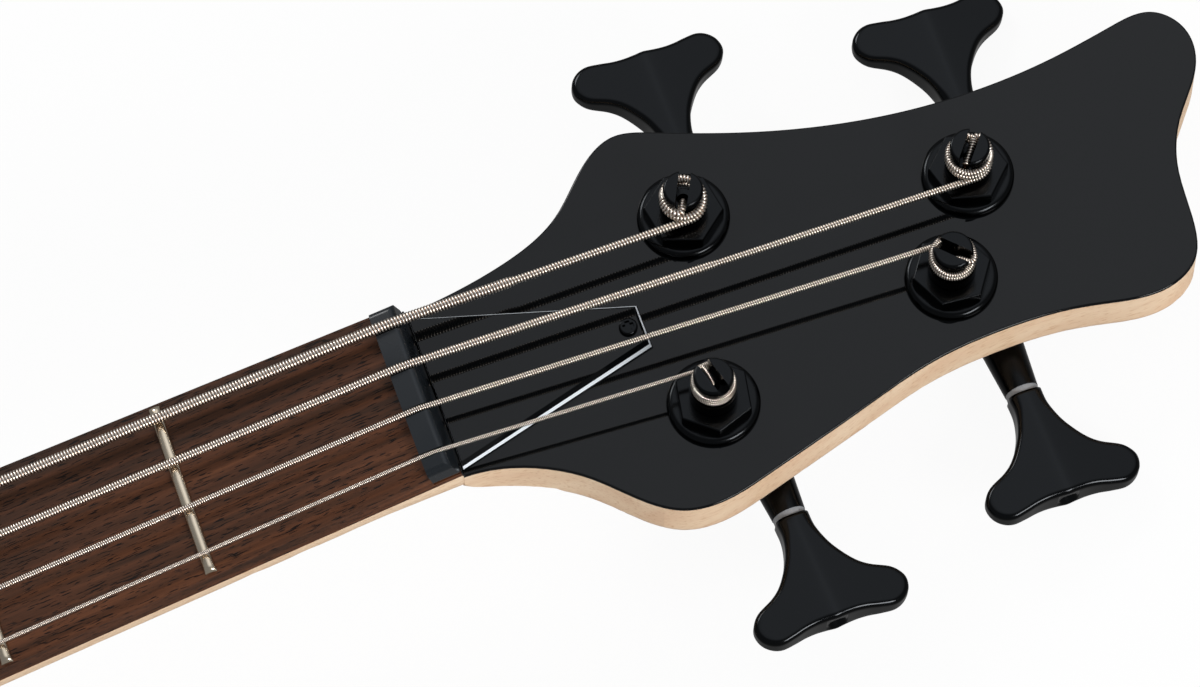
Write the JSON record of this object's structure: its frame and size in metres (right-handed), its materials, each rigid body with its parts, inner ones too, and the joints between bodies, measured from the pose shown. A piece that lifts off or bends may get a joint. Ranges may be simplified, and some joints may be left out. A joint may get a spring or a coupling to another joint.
{
  "type": "electric bass guitar",
  "caption": "Solid-body electric bass guitar with a bolted neck, tilted black headstock, geared tuners, wound strings and an adjustable bridge.",
  "frame": {"origin": "on the body's back plane, on the centreline, under the end of the scale at the bridge", "axes": "+X along the strings to the headstock, +Y to the lowest string's side, +Z out of the front"},
  "size_m": [1.1427, 0.317, 0.0681],
  "materials": {
    "black_lacquer": "satin black lacquer on wood",
    "maple": "satin clear finish on maple",
    "black_face": "satin black face",
    "rosewood": "open-pored dark wood",
    "nickel": "polished nickel silver",
    "string_nickel": "round-wound nickel-plated steel",
    "pearl_plastic": "pearl plastic",
    "nut_grey": "moulded graphite-grey plastic",
    "steel": "plain steel",
    "black_ply": "black laminate ply",
    "white_ply": "white laminate ply",
    "black_metal": "black plated metal",
    "black_key": "satin black metal",
    "grey_nylon": "grey nylon",
    "brass": "plain brass",
    "black_plastic": "satin black plastic",
    "copper_wire": "enamelled copper wire",
    "magnet_grey": "ceramic bar magnet"
  },
  "bodies": {
    "instrument": {"body": "black_lacquer", "neck": "maple", "headstock_face": "black_face", "fingerboard": "rosewood", "frets": "nickel", "position_dots": "pearl_plastic", "nut": "nut_grey", "truss_rod": "steel", "truss_cover_black_plies": "black_ply", "truss_cover_white_ply": "white_ply", "truss_cover_screw": "black_metal", "tuner_housings": "black_metal", "tuner_covers": "black_metal", "tuner_screws": "black_metal", "tuner_bushings": "black_metal", "tuner_washers": "black_metal", "ball_ends": "brass", "bridge_base": "black_metal", "bridge_screws": "black_metal", "intonation_screws": "black_metal", "neck_pickup_cover": "black_plastic", "bridge_pickup_cover": "black_plastic", "pickup_coils": "copper_wire", "pickup_magnets": "magnet_grey", "potentiometers": "steel", "pot_nuts": "black_metal", "control_cover": "black_plastic", "small_screws": "black_metal", "wiring": "black_plastic", "output_jack": "steel", "jack_plate": "black_metal", "neck_plate": "black_metal", "neck_screws": "black_metal", "strap_buttons": "black_metal", "strap_screws": "black_metal", "string_e": "string_nickel", "string_a": "string_nickel", "string_d": "string_nickel", "string_g": "string_nickel", "key_washers": "grey_nylon"},
    "key_e": {"key_e": "black_key", "worm_e": "black_metal"},
    "post_e": {"post_e": "black_metal"},
    "saddle_e": {"saddle_e": "black_metal"},
    "key_a": {"key_a": "black_key", "worm_a": "black_metal"},
    "post_a": {"post_a": "black_metal"},
    "saddle_a": {"saddle_a": "black_metal"},
    "key_d": {"key_d": "black_key", "worm_d": "black_metal"},
    "post_d": {"post_d": "black_metal"},
    "saddle_d": {"saddle_d": "black_metal"},
    "key_g": {"key_g": "black_key", "worm_g": "black_metal"},
    "post_g": {"post_g": "black_metal"},
    "saddle_g": {"saddle_g": "black_metal"},
    "knob_volume": {"knob_volume": "black_metal"},
    "knob_blend": {"knob_blend": "black_metal"},
    "knob_tone": {"knob_tone": "black_metal"},
    "truss_nut": {"truss_rod_nut": "steel"}
  },
  "joints": [
    {"name": "key_e_turn", "type": "hinge", "parent": "instrument", "child": "key_e", "pos_m": [0.93255, 0.02064, 0.01969], "axis": [-0.017, 0.9998, 0.0039], "continuous": true},
    {"name": "post_e_turn", "type": "hinge", "parent": "instrument", "child": "post_e", "pos_m": [0.92928, 0.0205, 0.04094], "axis": [0.2215, 0, 0.9751], "continuous": true},
    {"name": "saddle_e_slide", "type": "slide", "parent": "instrument", "child": "saddle_e", "axis": [1, 0, 0], "range_m": [-0.001, 0.006]},
    {"name": "key_a_turn", "type": "hinge", "parent": "instrument", "child": "key_a", "pos_m": [0.9896, 0.0098, 0.00673], "axis": [0, 1, 0], "continuous": true},
    {"name": "post_a_turn", "type": "hinge", "parent": "instrument", "child": "post_a", "pos_m": [0.98633, 0.0098, 0.02798], "axis": [0.2215, 0, 0.9751], "continuous": true},
    {"name": "saddle_a_slide", "type": "slide", "parent": "instrument", "child": "saddle_a", "axis": [1, 0, 0], "range_m": [-0.001, 0.006]},
    {"name": "key_d_turn", "type": "hinge", "parent": "instrument", "child": "key_d", "pos_m": [0.97858, -0.01059, 0.00923], "axis": [0.0255, -0.9997, -0.0058], "continuous": true},
    {"name": "post_d_turn", "type": "hinge", "parent": "instrument", "child": "post_d", "pos_m": [0.97531, -0.0108, 0.03048], "axis": [0.2215, 0, 0.9751], "continuous": true},
    {"name": "saddle_d_slide", "type": "slide", "parent": "instrument", "child": "saddle_d", "axis": [1, 0, 0], "range_m": [-0.001, 0.006]},
    {"name": "key_g_turn", "type": "hinge", "parent": "instrument", "child": "key_g", "pos_m": [0.92464, -0.02039, 0.02149], "axis": [0.051, -0.9986, -0.0116], "continuous": true},
    {"name": "post_g_turn", "type": "hinge", "parent": "instrument", "child": "post_g", "pos_m": [0.92138, -0.0208, 0.04274], "axis": [0.2215, 0, 0.9751], "continuous": true},
    {"name": "saddle_g_slide", "type": "slide", "parent": "instrument", "child": "saddle_g", "axis": [1, 0, 0], "range_m": [-0.001, 0.006]},
    {"name": "knob_volume_turn", "type": "hinge", "parent": "instrument", "child": "knob_volume", "pos_m": [0.052, -0.1, 0.046], "axis": [0, 0, 1], "range_deg": [-140, 140]},
    {"name": "knob_blend_turn", "type": "hinge", "parent": "instrument", "child": "knob_blend", "pos_m": [0.012, -0.1, 0.046], "axis": [0, 0, 1], "range_deg": [-140, 140]},
    {"name": "knob_tone_turn", "type": "hinge", "parent": "instrument", "child": "knob_tone", "pos_m": [-0.028, -0.1, 0.046], "axis": [0, 0, 1], "range_deg": [-140, 140]},
    {"name": "truss_nut_turn", "type": "hinge", "parent": "instrument", "child": "truss_nut", "pos_m": [0.8716, 0, 0.048], "axis": [1, 0, 0], "range_deg": [-360, 360]}
  ],
  "couplings": [
    {"joint": "post_e_turn", "follows": "key_e_turn", "ratio": 0.05},
    {"joint": "post_a_turn", "follows": "key_a_turn", "ratio": 0.05},
    {"joint": "post_d_turn", "follows": "key_d_turn", "ratio": -0.05},
    {"joint": "post_g_turn", "follows": "key_g_turn", "ratio": -0.05}
  ]
}
